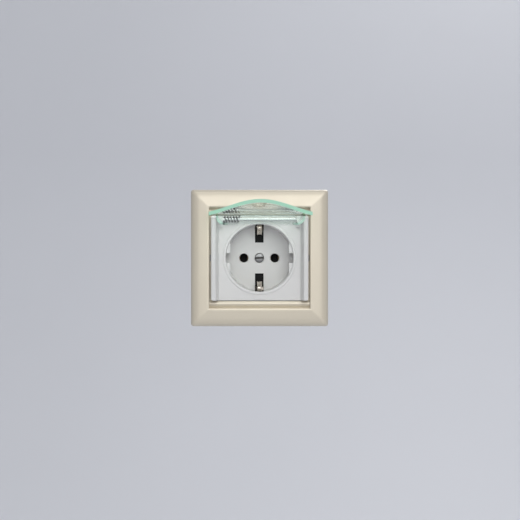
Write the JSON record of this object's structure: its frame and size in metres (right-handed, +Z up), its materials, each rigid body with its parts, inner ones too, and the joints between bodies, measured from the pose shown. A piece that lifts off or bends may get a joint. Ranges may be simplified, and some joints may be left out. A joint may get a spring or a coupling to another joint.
{
  "type": "wall socket outlet",
  "caption": "Flush wall socket outlet for two round pins with side earth clips, in a soft-edged square frame, with a sprung see-through lid standing open.",
  "frame": {"origin": "centre of the socket on the wall's face, which is the back plane of the mounting plate and of the frame's rim", "axes": "+Z up, -Y out of the wall towards the viewer, +Y into the wall box, +X to the right seen from the front"},
  "size_m": [0.0834, 0.0928, 0.083],
  "materials": {
    "champagne_plastic": "pearl champagne lacquer over plastic, satin gloss",
    "white_plastic": "moulded white thermoplastic, semi-gloss",
    "tinted_clear_plastic": "pale sea-green transparent plastic, polished",
    "black_plastic": "moulded thermoset, matte",
    "zinc_steel": "zinc-plated pressed steel",
    "nickel_metal": "nickel-plated bronze strip",
    "brass": "bright brass",
    "spring_steel": "bright spring steel"
  },
  "bodies": {
    "socket": {"bezel_frame": "champagne_plastic", "socket_cover": "white_plastic", "mounting_plate": "zinc_steel", "contact_base": "black_plastic", "contact_retainer": "black_plastic", "live_contact": "brass", "neutral_contact": "brass", "earth_bracket": "nickel_metal", "centre_nut": "brass", "cover_screw": "zinc_steel", "hinge_pin": "spring_steel", "lid_spring": "spring_steel", "plate_rivet_1": "zinc_steel", "plate_rivet_2": "zinc_steel", "plate_rivet_3": "zinc_steel", "plate_rivet_4": "zinc_steel", "claw_spring_left": "spring_steel", "claw_spring_right": "spring_steel"},
    "lid": {"lid": "tinted_clear_plastic"},
    "terminal_screw_live": {"terminal_screw_live": "zinc_steel"},
    "terminal_clamp_live": {"terminal_clamp_live": "zinc_steel"},
    "terminal_screw_neutral": {"terminal_screw_neutral": "zinc_steel"},
    "terminal_clamp_neutral": {"terminal_clamp_neutral": "zinc_steel"},
    "terminal_screw_earth": {"terminal_screw_earth": "zinc_steel"},
    "terminal_clamp_earth": {"terminal_clamp_earth": "zinc_steel"},
    "claw_screw_left": {"claw_screw_left": "zinc_steel"},
    "claw_left": {"claw_left": "zinc_steel"},
    "claw_screw_right": {"claw_screw_right": "zinc_steel"},
    "claw_right": {"claw_right": "zinc_steel"}
  },
  "joints": [
    {"name": "lid_hinge", "type": "hinge", "parent": "socket", "child": "lid", "pos_m": [0, -0.0094, 0.0234], "axis": [1, 0, 0], "range_deg": [0, 88], "stiffness_Nm_per_rad": 0.001, "springref_deg": 171.89, "deforming": ["lid_spring"]},
    {"name": "terminal_screw_live_turn", "type": "hinge", "parent": "socket", "child": "terminal_screw_live", "pos_m": [-0.01768, 0.014, -0.01768], "axis": [0, 1, 0], "range_deg": [0, 2040]},
    {"name": "terminal_clamp_live_slide", "type": "slide", "parent": "socket", "child": "terminal_clamp_live", "axis": [0, -1, 0], "range_m": [0, 0.0034]},
    {"name": "terminal_screw_neutral_turn", "type": "hinge", "parent": "socket", "child": "terminal_screw_neutral", "pos_m": [0.01768, 0.014, -0.01768], "axis": [0, 1, 0], "range_deg": [0, 2040]},
    {"name": "terminal_clamp_neutral_slide", "type": "slide", "parent": "socket", "child": "terminal_clamp_neutral", "axis": [0, -1, 0], "range_m": [0, 0.0034]},
    {"name": "terminal_screw_earth_turn", "type": "hinge", "parent": "socket", "child": "terminal_screw_earth", "pos_m": [0.01768, 0.014, 0.01768], "axis": [0, 1, 0], "range_deg": [0, 2040]},
    {"name": "terminal_clamp_earth_slide", "type": "slide", "parent": "socket", "child": "terminal_clamp_earth", "axis": [0, -1, 0], "range_m": [0, 0.0034]},
    {"name": "claw_screw_left_turn", "type": "hinge", "parent": "socket", "child": "claw_screw_left", "pos_m": [-0.0257, 0, 0], "axis": [0, 1, 0], "range_deg": [0, 720]},
    {"name": "claw_left_swing", "type": "hinge", "parent": "socket", "child": "claw_left", "pos_m": [-0.02295, 0.0072, 0], "axis": [0, 0, 1], "range_deg": [0, 22], "deforming": ["claw_spring_left"]},
    {"name": "claw_screw_right_turn", "type": "hinge", "parent": "socket", "child": "claw_screw_right", "pos_m": [0.0257, 0, 0], "axis": [0, 1, 0], "range_deg": [0, 720]},
    {"name": "claw_right_swing", "type": "hinge", "parent": "socket", "child": "claw_right", "pos_m": [0.02295, 0.0072, 0], "axis": [0, 0, -1], "range_deg": [0, 22], "deforming": ["claw_spring_right"]}
  ],
  "couplings": [
    {"joint": "terminal_screw_live_turn", "follows": "terminal_clamp_live_slide", "rad_per_m": 10472},
    {"joint": "terminal_screw_neutral_turn", "follows": "terminal_clamp_neutral_slide", "rad_per_m": 10472},
    {"joint": "terminal_screw_earth_turn", "follows": "terminal_clamp_earth_slide", "rad_per_m": 10472},
    {"joint": "claw_left_swing", "follows": "claw_screw_left_turn", "ratio": 0.03055},
    {"joint": "claw_right_swing", "follows": "claw_screw_right_turn", "ratio": 0.03055}
  ]
}
